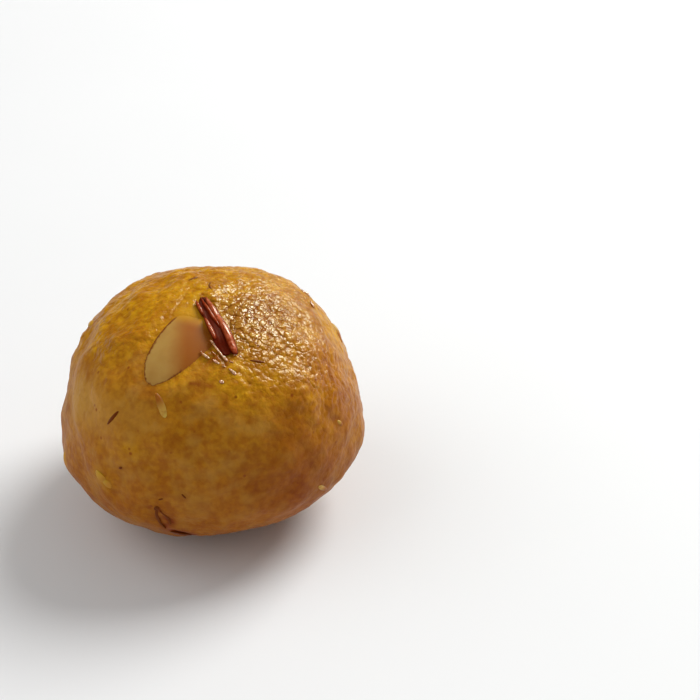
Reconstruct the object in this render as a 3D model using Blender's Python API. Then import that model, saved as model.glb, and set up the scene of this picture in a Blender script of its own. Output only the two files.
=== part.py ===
"""A besan ladoo: roasted gram flour, ghee and sugar rolled to a ball in the palm, with almond pressed in.

The ball slumped a little while it was warm, so it is widest below its middle and stands on a small flat.
Almond flakes, splinters and curls of almond skin are pressed into the dough and make one solid with it.
Metres, +Z up. The origin is the middle of the flat that the ball stands on, and -Y is its front.
"""

import bmesh
import bpy
import numpy as np
from mathutils import Vector

# The ball, as a superellipsoid about its middle
HALF_WIDTH = 0.0214
HALF_ABOVE = 0.0191
HALF_BELOW = 0.0179
ROUNDNESS = 2.15
MIDDLE_HEIGHT = 0.0170
BALL_CELLS = 26

# The belt that swelled as the warm ball slumped: its size, and its level and spread as parts of the radius
SAG = 0.0009
SAG_LEVEL = -0.28
SAG_SPREAD = 0.30

# The flat underneath starts to curve up over this height
FOOT_BLEND = 0.0002

# What the palm and fingers left: the way it faces, its height, and its spread as a part of the radius
PALM_MARKS = {
    "corner_low_left": ((-0.93, -0.22, -0.31), 0.00095, 0.20),
    "corner_low_right": ((0.98, -0.10, -0.15), 0.00070, 0.22),
    "swell_under_left": ((-0.64, -0.44, -0.63), 0.00040, 0.22),
    "heel_of_the_hand": ((0.34, -0.55, -0.76), -0.00130, 0.42),
    "finger_right": ((0.93, 0.22, 0.30), -0.00045, 0.28),
    "crown_flat": ((0.05, 0.57, 0.82), -0.00015, 0.30),
    "shoulder_right": ((0.42, 0.52, 0.75), 0.00035, 0.25),
    "finger_back": ((-0.30, 0.90, 0.10), -0.00060, 0.30),
    "shoulder_back": ((-0.62, 0.62, 0.45), 0.00040, 0.25),
    "nick_left": ((-0.93, -0.15, -0.33), -0.00045, 0.06),
    "settled_foot": ((0.00, 0.00, -1.00), 0.00120, 0.42),
}

# Unevenness of the dough: wavelength, height, how many waves make it, and its seed
UNDULATION = (0.0062, 0.00012, 40, 3)
NUBS = (0.0031, 0.00005, 60, 5)

# A spot seen from the front is given in metres across and up from the middle of a ball of this radius
NOMINAL_RADIUS = 0.0215
VIEW_ELEVATION = np.radians(35.0)
TOWARDS_VIEWER = np.array((0.0, -np.cos(VIEW_ELEVATION), np.sin(VIEW_ELEVATION)))

# A way whose part towards the viewer is below this is out of sight past the edge
PAST_THE_EDGE = -0.15

# A slice of almond: how much it narrows, the radius it is bent to, and how thin its rim is beside its middle
ALMOND_THICKNESS = 0.0011
ALMOND_TAPER = 0.24
ALMOND_BEND = 0.024
ALMOND_RIM = 0.72
ALMOND_SIDES = 20
ALMOND_RING_WIDTHS = (0.28, 0.34)

# Strips of skin and splinters reach this far under the surface, and end this much narrower
STRIP_DEPTH = 0.0007
STRIP_END = 0.22
CURL_CELLS = (8, 6)
SPLINTER_CELLS = (3, 2)

# Splinters on the side away from the front: half their length and their least spacing are in degrees
FAR_SPLINTERS = 9
FAR_SPLINTER_REACH = (3.0, 5.0)
FAR_SPLINTER_SPACING = 16.0
FAR_SPLINTER_HALF_WIDTH = 0.00055
FAR_SPLINTER_RISE = 0.00035
FAR_SPLINTER_SEED = 11

# Edges that turn by more than this are shaded sharp
SHARP_TURN = np.radians(38.0)

# A small turn, used to find the surface's slope
SLOPE_STEP = 0.01

# Linear colour and roughness
GOLDEN_DOUGH = ((0.46, 0.24, 0.03, 1.0), 0.35)
SLICED_ALMOND = ((0.50, 0.33, 0.13, 1.0), 0.40)
ALMOND_SKIN = ((0.22, 0.04, 0.01, 1.0), 0.25)


def unit(vector):
    """The vector, or each row of an array of them, at length one."""
    vector = np.asarray(vector, float)
    return vector / np.linalg.norm(vector, axis=-1, keepdims=True)


def seen(across, up):
    """The way from the middle to a spot seen from the front at the view's elevation."""
    towards = np.sqrt(max(0.0, NOMINAL_RADIUS**2 - across**2 - up**2))
    sine, cosine = np.sin(VIEW_ELEVATION), np.cos(VIEW_ELEVATION)
    return unit((across, up * sine - towards * cosine, up * cosine + towards * sine))


def around(turn, rise):
    """The way from the middle to a spot turned so many degrees to the right of the front, and risen."""
    turn, rise = np.radians(turn), np.radians(rise)
    return np.array((np.sin(turn) * np.cos(rise), -np.cos(turn) * np.cos(rise), np.sin(rise)))


def wave_field(points, wavelength, height, count, seed):
    """A smooth uneven field: plane waves of about one length, in random directions, added up."""
    draw = np.random.default_rng(seed)
    ways = unit(draw.normal(size=(count, 3)))
    lengths = wavelength * draw.uniform(0.8, 1.25, count)
    phases = draw.uniform(0.0, 2.0 * np.pi, count)
    waves = np.cos(points @ (ways.T * (2.0 * np.pi / lengths)) + phases)
    return height * np.sqrt(2.0 / count) * waves.sum(axis=1)


def ball_surface(ways, uneven=True):
    """Points of the dough's surface: a superellipsoid, its sagged belt, the palm's marks and the foot."""
    half_height = np.where(ways[:, 2] > 0.0, HALF_ABOVE, HALF_BELOW)
    halves = np.stack([np.full(len(ways), HALF_WIDTH)] * 2 + [half_height], axis=1)
    radius = (np.abs(ways / halves) ** ROUNDNESS).sum(axis=1) ** (-1.0 / ROUNDNESS)
    radius += SAG * np.exp(-(((ways[:, 2] - SAG_LEVEL) / SAG_SPREAD) ** 2))
    for way, height, spread in PALM_MARKS.values():
        radius += height * np.exp((ways @ unit(way) - 1.0) / spread**2)
    if uneven:
        radius += wave_field(ways * NOMINAL_RADIUS, *UNDULATION)
        radius += wave_field(ways * NOMINAL_RADIUS, *NUBS)
    points = ways * radius[:, None]
    height = points[:, 2] + MIDDLE_HEIGHT
    curved = (height + FOOT_BLEND) ** 2 / (4.0 * FOOT_BLEND)
    points[:, 2] = np.where(height < -FOOT_BLEND, 0.0, np.where(height < FOOT_BLEND, curved, height))
    return points


def surface_frame(way):
    """The spot on the even ball that way points to, and the outward normal there."""
    flattest = np.eye(3)[np.argmin(np.abs(way))]
    side = unit(np.cross(way, flattest))
    other = np.cross(side, way)
    turned = np.stack([way, way + SLOPE_STEP * side, way + SLOPE_STEP * other])
    near = ball_surface(unit(turned), uneven=False)
    normal = unit(np.cross(near[1] - near[0], near[2] - near[0]))
    return near[0], normal * np.sign(normal @ way)


def material(name, colour, roughness):
    """A plain finish for a sub-part."""
    made = bpy.data.materials.new(name)
    made.use_nodes = True
    shader = made.node_tree.nodes["Principled BSDF"]
    shader.inputs["Base Color"].default_value = colour
    shader.inputs["Roughness"].default_value = roughness
    shader.inputs["Metallic"].default_value = 0.0
    made.diffuse_color = colour
    return made


def object_from(bm, name, collection, finish):
    """The bmesh as an object of that name and finish, its faces pointing out."""
    bmesh.ops.recalc_face_normals(bm, faces=bm.faces[:])
    mesh = bpy.data.meshes.new(name)
    bm.to_mesh(mesh)
    bm.free()
    mesh.materials.append(finish)
    made = bpy.data.objects.new(name, mesh)
    collection.objects.link(made)
    return made


def thicken(bm):
    """Extrudes the flat face a unit up, and closes it underneath."""
    raised = bmesh.ops.extrude_face_region(bm, geom=bm.faces[:])["geom"]
    top = [element for element in raised if isinstance(element, bmesh.types.BMVert)]
    bmesh.ops.translate(bm, verts=top, vec=(0.0, 0.0, 1.0))


def place_vertices(bm, points):
    """Moves the vertices to the points, in order."""
    for vertex, point in zip(bm.verts, points):
        vertex.co = Vector(point)


def dough_ball(collection, finish):
    """The ball: a cube cut into even cells, swelled to the surface."""
    bm = bmesh.new()
    bmesh.ops.create_cube(bm, size=2.0)
    bmesh.ops.subdivide_edges(bm, edges=bm.edges[:], cuts=BALL_CELLS - 1, use_grid_fill=True)
    cube = np.array([vertex.co for vertex in bm.verts])
    place_vertices(bm, ball_surface(unit(np.tan(cube * (np.pi / 4.0)))))
    return object_from(bm, "besan_ladoo", collection, finish)


def widest_face(bm):
    """The face with the most corners."""
    return max(bm.faces, key=lambda face: len(face.verts))


def almond_flake(name, collection, finish, broad_end, pointed_end, half_width, sink, roll):
    """A slice of almond: an egg-shaped plate bent to the ball, from its broad end to its pointed end.

    sink is how far its middle lies under the even surface, and roll tips its left edge up, in degrees.
    """
    bm = bmesh.new()
    bmesh.ops.create_circle(bm, cap_ends=True, segments=ALMOND_SIDES, radius=1.0)
    for ring_width in ALMOND_RING_WIDTHS:
        bmesh.ops.inset_region(bm, faces=[widest_face(bm)], thickness=ring_width)
    bmesh.ops.poke(bm, faces=[widest_face(bm)])
    thicken(bm)

    plate = np.array([vertex.co for vertex in bm.verts])
    start, stop = surface_frame(broad_end)[0], surface_frame(pointed_end)[0]
    middle, normal = surface_frame(unit(broad_end + pointed_end))
    along = unit((stop - start) - normal * ((stop - start) @ normal))
    left = np.cross(normal, along)
    tip = np.radians(roll)
    left, normal = left * np.cos(tip) + normal * np.sin(tip), normal * np.cos(tip) - left * np.sin(tip)

    half_length = 0.5 * np.linalg.norm(stop - start)
    x = half_length * plate[:, 0]
    y = half_width * plate[:, 1] * (1.0 - ALMOND_TAPER * plate[:, 0])
    thinned = 1.0 - (1.0 - ALMOND_RIM) * (plate[:, 0] ** 2 + plate[:, 1] ** 2)
    z = (plate[:, 2] - 0.5) * ALMOND_THICKNESS * thinned - (x**2 + y**2) / (2.0 * ALMOND_BEND) - sink
    place_vertices(bm, middle + x[:, None] * along + y[:, None] * left + z[:, None] * normal)
    return object_from(bm, name, collection, finish)


def dome(t):
    """A rounded back."""
    return 1.0 - t**2


def curl(t):
    """A rolled ridge on the right, a groove, and a lower lip on the left."""
    return 0.1 + 0.9 * np.exp(-(((t + 0.42) / 0.36) ** 2)) + 0.5 * np.exp(-(((t - 0.66) / 0.24) ** 2))


def pressed_strip(name, collection, finish, spots, half_width, rise, shape=dome, cells=SPLINTER_CELLS):
    """A strip of shape's cross-section, narrow at both ends, that follows the ball from spot to spot."""
    bm = bmesh.new()
    bmesh.ops.create_grid(bm, x_segments=cells[0], y_segments=cells[1], size=1.0)
    thicken(bm)

    points = []
    for x, y, upper in (vertex.co for vertex in bm.verts):
        share = 0.5 * (x + 1.0)
        way = unit(path_way(spots, share))
        spot, normal = surface_frame(way)
        ahead = surface_frame(unit(path_way(spots, share + SLOPE_STEP)))[0] - spot
        left = unit(np.cross(normal, ahead))
        taper = STRIP_END + (1.0 - STRIP_END) * np.sqrt(max(0.0, 1.0 - x * x))
        height = rise * taper * shape(y) if upper > 0.5 else -STRIP_DEPTH
        points.append(spot + left * (y * half_width * taper) + normal * height)
    place_vertices(bm, points)
    return object_from(bm, name, collection, finish)


def path_way(spots, share):
    """The way to a point on the smooth curve from the first spot to the last, past the middle one."""
    first, last = spots[0], spots[-1]
    bend = spots[1] if len(spots) == 3 else 0.5 * (first + last)
    control = 2.0 * bend - 0.5 * (first + last)
    return (1 - share) ** 2 * first + 2 * share * (1 - share) * control + share**2 * last


def far_side_splinters():
    """Both ends of each splinter on the side away from the front, no two splinters close together."""
    draw = np.random.default_rng(FAR_SPLINTER_SEED)
    closest = np.cos(np.radians(FAR_SPLINTER_SPACING))
    middles, pairs = [], []
    while len(pairs) < FAR_SPLINTERS:
        turn, rise, heading = draw.uniform(95, 265), draw.uniform(-30, 60), draw.uniform(0, np.pi)
        way = around(turn, rise)
        if way @ TOWARDS_VIEWER > PAST_THE_EDGE or any(way @ other > closest for other in middles):
            continue
        reach = draw.uniform(*FAR_SPLINTER_REACH)
        end = around(turn + reach * np.cos(heading), rise + reach * np.sin(heading))
        start = around(turn - reach * np.cos(heading), rise - reach * np.sin(heading))
        middles.append(way)
        pairs.append((start, end))
    return pairs


def pressed_in_pieces(collection, almond, skin):
    """Everything that is pressed into the dough."""
    # Broad end, pointed end, half width, depth under the surface, and degrees that the left edge is tipped up
    flakes = {
        "flake_front": (seen(-0.0078, 0.0035), seen(0.0014, 0.0138), 0.0031, -0.00010, 5.0),
        "flake_left": (around(-110, -18), around(-118, 12), 0.0027, 0.00020, -6.0),
        "flake_back_right": (around(122, 16), around(148, 0), 0.0032, 0.00000, 6.0),
        "flake_back": (around(-156, 36), around(-172, 8), 0.0033, -0.00010, -5.0),
        "flake_back_low": (around(-138, -26), around(-158, -10), 0.0026, 0.00015, 4.0),
    }
    for name, (broad_end, pointed_end, half_width, sink, roll) in flakes.items():
        almond_flake(name, collection, almond, broad_end, pointed_end, half_width, sink, roll)

    # The spots that it passes, half width and height
    curls = {
        "curl_front": ((seen(0.0046, 0.0075), seen(0.0022, 0.0126), seen(-0.0010, 0.0172)), 0.0016, 0.0010),
        "curl_back": ((around(158, 12), around(166, 26), around(178, 36)), 0.0010, 0.0007),
        "curl_side": ((around(104, -24), around(109, -10), around(106, 4)), 0.0009, 0.0006),
        "curl_foot": ((seen(-0.0034, -0.0180), seen(-0.0058, -0.0158), seen(-0.0066, -0.0134)), 0.0008, 0.0005),
    }
    for name, (spots, half_width, rise) in curls.items():
        pressed_strip(name, collection, skin, spots, half_width, rise, shape=curl, cells=CURL_CELLS)

    # Finish, the spots that it passes, half width and height
    splinters = {
        "splinter_front": (almond, (seen(-0.0063, 0.0017), seen(-0.0048, -0.0017)), 0.00055, 0.00035),
        "splinter_low_left": (almond, (seen(-0.0149, -0.0088), seen(-0.0129, -0.0112)), 0.00070, 0.00035),
        "splinter_shoulder": (almond, (seen(0.0173, 0.0127), seen(0.0194, 0.0092)), 0.00055, 0.00030),
        "splinter_low_right": (almond, (seen(0.0152, -0.0109), seen(0.0166, -0.0119)), 0.00050, 0.00030),
        "skin_left": (skin, (seen(-0.0133, -0.0027), seen(-0.0114, -0.0006)), 0.00035, 0.00020),
        "skin_edge": (skin, (seen(0.0132, 0.0168), seen(0.0144, 0.0158)), 0.00045, 0.00035),
        "skin_fold_upper": (skin, (seen(0.0012, 0.0094), seen(0.0036, 0.0069)), 0.00030, 0.00035),
        "skin_fold_lower": (skin, (seen(-0.0004, 0.0080), seen(0.0046, 0.0047)), 0.00030, 0.00030),
    }
    for name, (finish, spots, half_width, rise) in splinters.items():
        pressed_strip(name, collection, finish, spots, half_width, rise)
    for number, spots in enumerate(far_side_splinters()):
        name = f"splinter_far_{number}"
        pressed_strip(name, collection, almond, spots, FAR_SPLINTER_HALF_WIDTH, FAR_SPLINTER_RISE)


def shells_of(bm):
    """The faces of each connected shell."""
    left = set(bm.faces)
    while left:
        shell, front = set(), [left.pop()]
        while front:
            face = front.pop()
            shell.add(face)
            beside = {other for edge in face.edges for other in edge.link_faces} & left
            left -= beside
            front.extend(beside)
        yield shell


def tidy_shell(mesh):
    """Keeps the largest shell, without loose scraps and sealed hollows, and makes its foot one flat face."""
    bm = bmesh.new()
    bm.from_mesh(mesh)
    shells = sorted(shells_of(bm), key=len)
    extra = [face for shell in shells[:-1] for face in shell]
    bmesh.ops.delete(bm, geom=extra, context="FACES")
    foot = [face for face in bm.faces if all(vertex.co.z == 0.0 for vertex in face.verts)]
    bmesh.ops.dissolve_faces(bm, faces=foot)
    bmesh.ops.triangulate(bm, faces=bm.faces[:])
    bm.to_mesh(mesh)
    bm.free()


def fuse(body, pieces):
    """Joins the collection's pieces to the body as one solid, and removes them."""
    union = body.modifiers.new("union", "BOOLEAN")
    union.operation = "UNION"
    union.operand_type = "COLLECTION"
    union.collection = pieces
    union.solver = "EXACT"
    union.material_mode = "TRANSFER"
    bpy.context.view_layer.update()
    graph = bpy.context.evaluated_depsgraph_get()
    fused = bpy.data.meshes.new_from_object(body.evaluated_get(graph))
    tidy_shell(fused)
    body.modifiers.clear()
    body.data = fused
    for piece in list(pieces.objects):
        bpy.data.objects.remove(piece)
    bpy.data.collections.remove(pieces)


def main():
    for existing in list(bpy.data.objects):
        bpy.data.objects.remove(existing)
    scene = bpy.context.scene.collection
    pieces = bpy.data.collections.new("pressed_in")
    scene.children.link(pieces)
    ladoo = dough_ball(scene, material("golden_dough", *GOLDEN_DOUGH))
    almond = material("sliced_almond", *SLICED_ALMOND)
    skin = material("almond_skin", *ALMOND_SKIN)
    pressed_in_pieces(pieces, almond, skin)
    fuse(ladoo, pieces)
    ladoo.data.shade_smooth()
    ladoo.data.set_sharp_from_angle(angle=SHARP_TURN)


main()
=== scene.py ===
"""A besan ladoo: the golden dough, the almond slices and curls of skin pressed into it, and a stage.

The dough is gram flour roasted in ghee and rolled in the palm while warm. Where it was rolled last it is
grainy and wet with ghee, and where it rested in the palm it is smooth and waxy. A spot on it is given as
seen from the front, in millimetres across and up from the ball's middle, or as degrees around and up.
"""

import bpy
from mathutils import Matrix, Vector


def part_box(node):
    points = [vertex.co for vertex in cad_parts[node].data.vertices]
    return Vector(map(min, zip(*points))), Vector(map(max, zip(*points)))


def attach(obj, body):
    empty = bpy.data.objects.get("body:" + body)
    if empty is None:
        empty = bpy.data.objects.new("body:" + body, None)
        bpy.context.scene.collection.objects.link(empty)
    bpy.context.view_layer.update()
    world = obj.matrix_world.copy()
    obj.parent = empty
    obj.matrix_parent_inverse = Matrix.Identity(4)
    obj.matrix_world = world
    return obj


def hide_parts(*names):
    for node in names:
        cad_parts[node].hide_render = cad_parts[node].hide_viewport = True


bl_info = {
    "name": "Besan ladoo",
    "version": (1, 0, 0),
    "blender": (4, 5, 0),
    "location": "3D View > Sidebar > Ladoo",
    "description": "Builds a gram-flour ladoo with almond pressed in, and a pale stage for it",
    "category": "Add Mesh",
}

import bpy
import numpy as np
from bpy.props import FloatProperty, FloatVectorProperty, IntProperty, PointerProperty
from mathutils import Matrix

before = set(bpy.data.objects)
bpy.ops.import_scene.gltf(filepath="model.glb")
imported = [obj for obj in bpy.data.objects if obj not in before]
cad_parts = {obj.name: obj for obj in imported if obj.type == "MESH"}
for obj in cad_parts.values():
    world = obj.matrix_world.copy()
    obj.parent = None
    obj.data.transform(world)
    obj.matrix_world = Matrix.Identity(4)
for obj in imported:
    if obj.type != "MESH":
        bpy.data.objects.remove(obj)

NODE = "besan_ladoo"
LOW, HIGH = (np.array(corner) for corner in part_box(NODE))

# The frame's ladoo is 44.86 mm wide, so one of its millimetres is this long
MM = (HIGH[0] - LOW[0]) / 44.86

# The ball: its power, where 2 is an ellipsoid and more is squarer, how high its middle is, and the height
# over which its foot curves up
ROUNDNESS = 2.15
MIDDLE_HEIGHT = 17.0 * MM
FOOT_BLEND = 0.2 * MM

# Spots are given and distances measured on a ball of this radius. A slope is taken over this share of it,
# and the way that a curve runs over this share of the curve.
NOMINAL_RADIUS = 21.5 * MM
SLOPE_STEP = 0.004
CURVE_STEP = 0.01

# The belt that swelled as the warm ball slumped: its size, and its level and spread as shares of the radius
SAG, SAG_LEVEL, SAG_SPREAD = 0.9 * MM, -0.28, 0.30

# The front is seen from this high, and a way whose part towards the viewer is below this is past the edge
VIEW_ELEVATION = np.radians(35.0)
TOWARDS_VIEWER = np.array((0.0, -np.cos(VIEW_ELEVATION), np.sin(VIEW_ELEVATION)))
VIEW_UP = np.array((0.0, np.sin(VIEW_ELEVATION), np.cos(VIEW_ELEVATION)))
PAST_THE_EDGE = -0.15

# What the palm and fingers left: the way it faces, its height in mm, and its spread as a share of the radius
PALM_MARKS = {
    "corner_low_left": ((-0.93, -0.22, -0.31), 0.95, 0.20),
    "corner_low_right": ((0.98, -0.10, -0.15), 0.70, 0.22),
    "swell_under_left": ((-0.64, -0.44, -0.63), 0.40, 0.22),
    "heel_of_the_hand": ((0.34, -0.55, -0.76), -1.30, 0.42),
    "finger_right": ((0.93, 0.22, 0.30), -0.45, 0.28),
    "crown_flat": ((0.05, 0.57, 0.82), -0.15, 0.30),
    "shoulder_right": ((0.42, 0.52, 0.75), 0.35, 0.25),
    "finger_back": ((-0.30, 0.90, 0.10), -0.60, 0.30),
    "shoulder_back": ((-0.62, 0.62, 0.45), 0.40, 0.25),
    "nick_left": ((-0.93, -0.15, -0.33), -0.40, 0.07),
    "settled_foot": ((0.00, 0.00, -1.00), 1.20, 0.42),
}

# Unevenness of the dough: wavelength and height in mm, how many waves make it, and its seed
UNDULATION = (6.2, 0.12, 40, 3)
NUBS = (3.1, 0.05, 60, 5)

# The grain's fields: wavelength beside the grain's spacing, how many waves make it, and its seed
WORMS = (1.0, 240, 21)
KNOTS = (2.2, 90, 34)

# How steep the worms' sides are, how much of the grain's height the smooth side keeps, a film over a slice
# loses and the knots add, and how much less wet such a film looks
WORM_STEEPNESS = 1.2
SMOOTH_GRAIN = 0.28
FILM_EVENS = 0.9
KNOT_SHARE = 0.6
FILM_DRIES = 0.85

# The grainy side faces up as seen from the front and a little to the right. It fades in as a way's part
# along this one goes from the first value to the second, and its edge wanders: by how much, and the
# wavelength in mm, number of waves and seed of that field.
GRAINY_WAY = 0.96 * VIEW_UP + np.array((0.28, 0.0, 0.0))
GRAINY_FADE = (-0.10, 0.34)
EDGE_WANDER = 0.07
EDGE_WAVES = (8.0, 30, 8)

# The least ghee on the grainy side, how much more there is behind, and between which parts of a way away
# from the viewer it is added
LEAST_GHEE = 0.10
GHEE_BEHIND = 0.5
GHEE_FADE = (0.0, 0.5)

# How pale pooled ghee turns the dough, a painted sheen, how dark the painted shade in the coarse hollows is,
# and the painted shade on the underside and between which downward parts of a way, how deep a torn spot is
# in mm, and how strong the toasted patches behind are
GHEE_PAINTED_SHEEN = 0.55
HOLLOW_PAINTED_SHADE = 0.4
UNDERSIDE_PAINTED_SHADE = 0.50
UNDERSIDE_FADE = (-0.50, 0.40)
TORN_DEPTH = 0.35
TOASTED_BEHIND = 0.6

# Where toasted patches overlap they add up to this at most, and above 1 they are less ragged
TOASTED_MOST = 1.8
YELLOW_MOST = 0.85

# Patches behind: between which parts of a way away from the viewer they fade in, how many waves make their
# field and between which of its heights they show, and the spacing in mm and seed of each kind
PATCH_FADE = (-0.1, 0.5)
PATCH_WAVES = 30
PATCH_HEIGHTS = (1.0, 2.0)
TOASTED_PATCHES = (12.0, 41)
YELLOW_PATCHES = (9.0, 43)


# Places


def unit(vector):
    """The vector, or each row of an array of them, at length one."""
    vector = np.asarray(vector, float)
    return vector / np.linalg.norm(vector, axis=-1, keepdims=True)


def seen(across, up):
    """The way from the middle to a spot, in mm across and up from it as seen from the front."""
    radius = NOMINAL_RADIUS / MM
    towards = np.sqrt(max(0.0, radius**2 - across**2 - up**2))
    return unit(np.array((across, 0.0, 0.0)) + up * VIEW_UP + towards * TOWARDS_VIEWER)


def around(turn, rise):
    """The way from the middle to a spot turned so many degrees to the right of the front, and risen."""
    turn, rise = np.radians(turn), np.radians(rise)
    return np.array((np.sin(turn) * np.cos(rise), -np.cos(turn) * np.cos(rise), np.sin(rise)))


def smooth_step(values, low, high):
    """0 below low, 1 above high, and an even S between them."""
    share = np.clip((values - low) / (high - low), 0.0, 1.0)
    return share * share * (3.0 - 2.0 * share)


def bell(values, middle, spread):
    """1 at the middle, falling off as a bell over the spread."""
    return np.exp(-(((values - middle) / spread) ** 2))


def wave_field(ways, wavelength, count, seed):
    """A smooth uneven field of size one: the sum of plane waves of about one length, each its own way."""
    draw = np.random.default_rng(seed)
    turns = unit(draw.normal(size=(count, 3)))
    lengths = wavelength * draw.uniform(0.8, 1.25, count)
    phases = draw.uniform(0.0, 2.0 * np.pi, count)
    points = ways * NOMINAL_RADIUS / MM
    total = np.zeros(len(ways))
    for turn, length, phase in zip(turns, lengths, phases):
        total += np.cos(points @ turn * (2.0 * np.pi / length) + phase)
    return total * np.sqrt(2.0 / count)


# The ball


def wetness(ways):
    """1 on the side above and behind, grainy and wet with ghee, and 0 low in front, where it is smooth.

    It is a smooth step in how far a way points to the grainy side, with a slow field added.
    """
    towards_it = ways @ GRAINY_WAY + EDGE_WANDER * wave_field(ways, *EDGE_WAVES)
    return smooth_step(towards_it, *GRAINY_FADE)


def slow_relief(ways):
    """The dough's broad lumps in metres: the unevenness and the nubs, added up."""
    height = np.zeros(len(ways))
    for wavelength, size, count, seed in (UNDULATION, NUBS):
        height += size * MM * wave_field(ways, wavelength, count, seed)
    return height


def ball_point(ways, relief=0.0):
    """Points of the ball: a superellipsoid with a sagged belt, the palm's marks, relief and a flat foot.

    The radius is one over the root of a sum, of the way's parts over the half sizes, each to the same power,
    with a bell added for the belt and for each mark. Heights near the floor follow a parabola down to it,
    and those below it are zero.
    """
    dough = bpy.context.scene.ladoo_dough
    half_height = np.where(ways[:, 2] > 0.0, dough.half_above, dough.half_below)
    halves = np.stack([np.full(len(ways), dough.half_width)] * 2 + [half_height], axis=1)
    radius = (np.abs(ways / halves) ** ROUNDNESS).sum(axis=1) ** (-1.0 / ROUNDNESS)
    radius += SAG * bell(ways[:, 2], SAG_LEVEL, SAG_SPREAD)
    for way, height, spread in PALM_MARKS.values():
        radius += height * MM * np.exp((ways @ unit(way) - 1.0) / spread**2)
    points = ways * (radius + relief)[:, None]
    height = points[:, 2] + MIDDLE_HEIGHT
    curved = (height + FOOT_BLEND) ** 2 / (4.0 * FOOT_BLEND)
    points[:, 2] = np.where(height < -FOOT_BLEND, 0.0, np.where(height < FOOT_BLEND, curved, height))
    return points


def surface_frame(ways):
    """The spots on the uneven ball that the ways point to, and the outward normals of the even one."""
    least = np.eye(3)[np.argmin(np.abs(ways), axis=1)]
    side = unit(np.cross(ways, least))
    other = np.cross(side, ways)
    here = ball_point(ways)
    across = ball_point(unit(ways + SLOPE_STEP * side)) - here
    along = ball_point(unit(ways + SLOPE_STEP * other)) - here
    normals = unit(np.cross(across, along))
    normals *= np.sign((normals * ways).sum(axis=1))[:, None]
    return ball_point(ways, slow_relief(ways)), normals


def cube_sphere(cells):
    """Ways spread evenly over a sphere, and their quads: a cube's six square grids, blown up and joined."""
    side = np.tan(np.linspace(-np.pi / 4.0, np.pi / 4.0, cells + 1))
    u, v = (axis.ravel() for axis in np.meshgrid(side, side, indexing="ij"))
    one = np.ones_like(u)
    sides = ((u, v, one), (v, u, -one), (one, u, v), (-one, v, u), (v, one, u), (u, -one, v))
    points = np.concatenate([np.stack(axes, axis=1) for axes in sides])
    corner = (np.arange(cells)[:, None] * (cells + 1) + np.arange(cells)).ravel()
    quad = np.stack([corner, corner + cells + 1, corner + cells + 2, corner + 1], axis=1)
    quads = np.concatenate([quad + number * (cells + 1) ** 2 for number in range(len(sides))])
    _, first, where = np.unique(np.round(points, 9), axis=0, return_index=True, return_inverse=True)
    return unit(points[first]), where.reshape(-1)[quads]


# Almond slices. For each: the end that its length runs from, the other end, half width in mm, how much it
# narrows towards the other end, and the stretch of rim that still has skin, as bearings in degrees from the
# other end to the left. Then the dough that covers it and the veil of ghee that stains it, each as the
# bearing of its side and how far from the middle it starts in mm.
FLAKES = {
    "front": (seen(-7.9, 2.8), seen(1.2, 14.9), 3.95, -0.24, (58, 243), (17, 3.6), (306, -2.2)),
    "left": (around(-110, -18), around(-118, 12), 2.7, 0.24, (150, 330), (20, 3.4), (60, 1.0)),
    "back_right": (around(122, 16), around(148, 0), 3.2, 0.24, (60, 260), (-30, 4.4), (300, 1.5)),
    "back": (around(-156, 36), around(-172, 8), 3.3, 0.24, (100, 300), (-70, 2.2), (40, 2.0)),
    "back_low": (around(-138, -26), around(-158, -10), 2.6, 0.24, (40, 200), (10, 3.6), (290, 1.0)),
}

# A slice is bent to this radius in mm, its outline follows these two powers, and its rim is this share of
# its thickness
FLAKE_BEND = 23.0
FLAKE_SQUARENESS = 2.4
FLAKE_ROUNDNESS = 2.2
FLAKE_RIM = 0.72

# The middle of a slice is sunk this deep, and the skin on its rim shows this wide, in mm
FLAKE_SINK = 0.50
SKIN_BAND = 0.62

# How far the dough takes to close over a slice and the veil to stain it, in mm, what share of the first the
# dough shines through the slice before it, and how many degrees the skin takes to end
FILM_FADE = 2.5
VEIL_FADE = 3.6
SHINES_THROUGH = 0.3
SKIN_FADE = 6.0

# In mm: how far under a bare slice's top the dough is, the groove at its rim, how thick the film on it is,
# how deep a curl is pressed in, and how far below a slice's level its seat ends
BARE_DEPTH = 0.12
RIM_GROOVE = 0.10
FILM_THICKNESS = 0.04
CURL_BED = 0.25
SEAT_REACH = 4.0

# As shares of the way out to a slice's rim: where the gap under it closes, the groove and its spread, and
# where the dough raised beside it, the film on it and the part held bare end. Then where a curl's bed ends,
# as a share of its half width.
GAP_ENDS = (0.93, 1.0)
GROOVE = (1.02, 0.03)
RAISED_ENDS = (1.05, 1.45)
FILM_ENDS = (0.95, 1.2)
HELD_ENDS = (0.98, 1.04)
BED_ENDS = (0.65, 1.0)


def flake_axes(first_end, other_end):
    """The middle of a slice, its axes along, left and out, and half its length."""
    spots, normals = surface_frame(unit(np.stack([first_end, other_end, first_end + other_end])))
    start, stop, middle = spots
    out = normals[2]
    along = unit((stop - start) - out * ((stop - start) @ out))
    return middle, along, np.cross(out, along), out, 0.5 * np.linalg.norm(stop - start)


def flake_level(x, y, share):
    """How high a slice's top is above its middle on the dough.

    It is half the thickness, lower by the square of the share of the way out to the rim, less the sink and
    the parabola that it is bent to.
    """
    thickness = bpy.context.scene.ladoo_almond.slice_thickness
    rounded = 1.0 - (1.0 - FLAKE_RIM) * share**2
    return 0.5 * thickness * rounded - FLAKE_SINK * MM - (x**2 + y**2) / (2.0 * FLAKE_BEND * MM)


def side_share(x, y, side, fade):
    """From 0 to 1, how far a spot x along and y left of the middle is past the start on a bearing's side."""
    bearing = np.radians(side[0])
    return smooth_step((x * np.cos(bearing) + y * np.sin(bearing)) / MM, side[1], side[1] + fade)


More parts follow.
